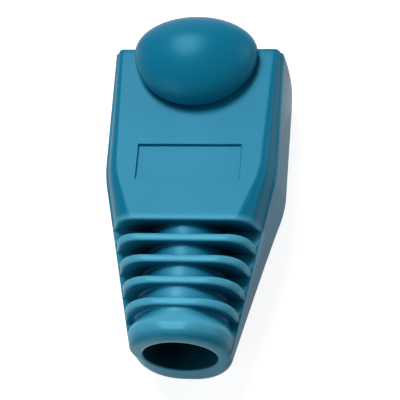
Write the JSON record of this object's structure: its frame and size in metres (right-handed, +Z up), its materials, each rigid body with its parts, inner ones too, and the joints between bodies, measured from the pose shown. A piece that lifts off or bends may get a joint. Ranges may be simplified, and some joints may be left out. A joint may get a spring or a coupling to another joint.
{
  "type": "rj45 strain relief boot",
  "caption": "Soft moulded sleeve that slips over a modular plug, with a domed latch cover, a tapering grooved tail and a round cable hole.",
  "frame": {"origin": "centre of the boot's footprint, on the plane that its flat underside rests on", "axes": "+Y along the plug's axis out of the mouth, -Y out of the tail with the cable, +Z up through the latch cover, +X to the right"},
  "size_m": [0.0146, 0.0282, 0.0131],
  "materials": {
    "soft_pvc": "satin moulded plasticised PVC, teal blue"
  },
  "bodies": {
    "root": {"boot": "soft_pvc"}
  },
  "joints": []
}
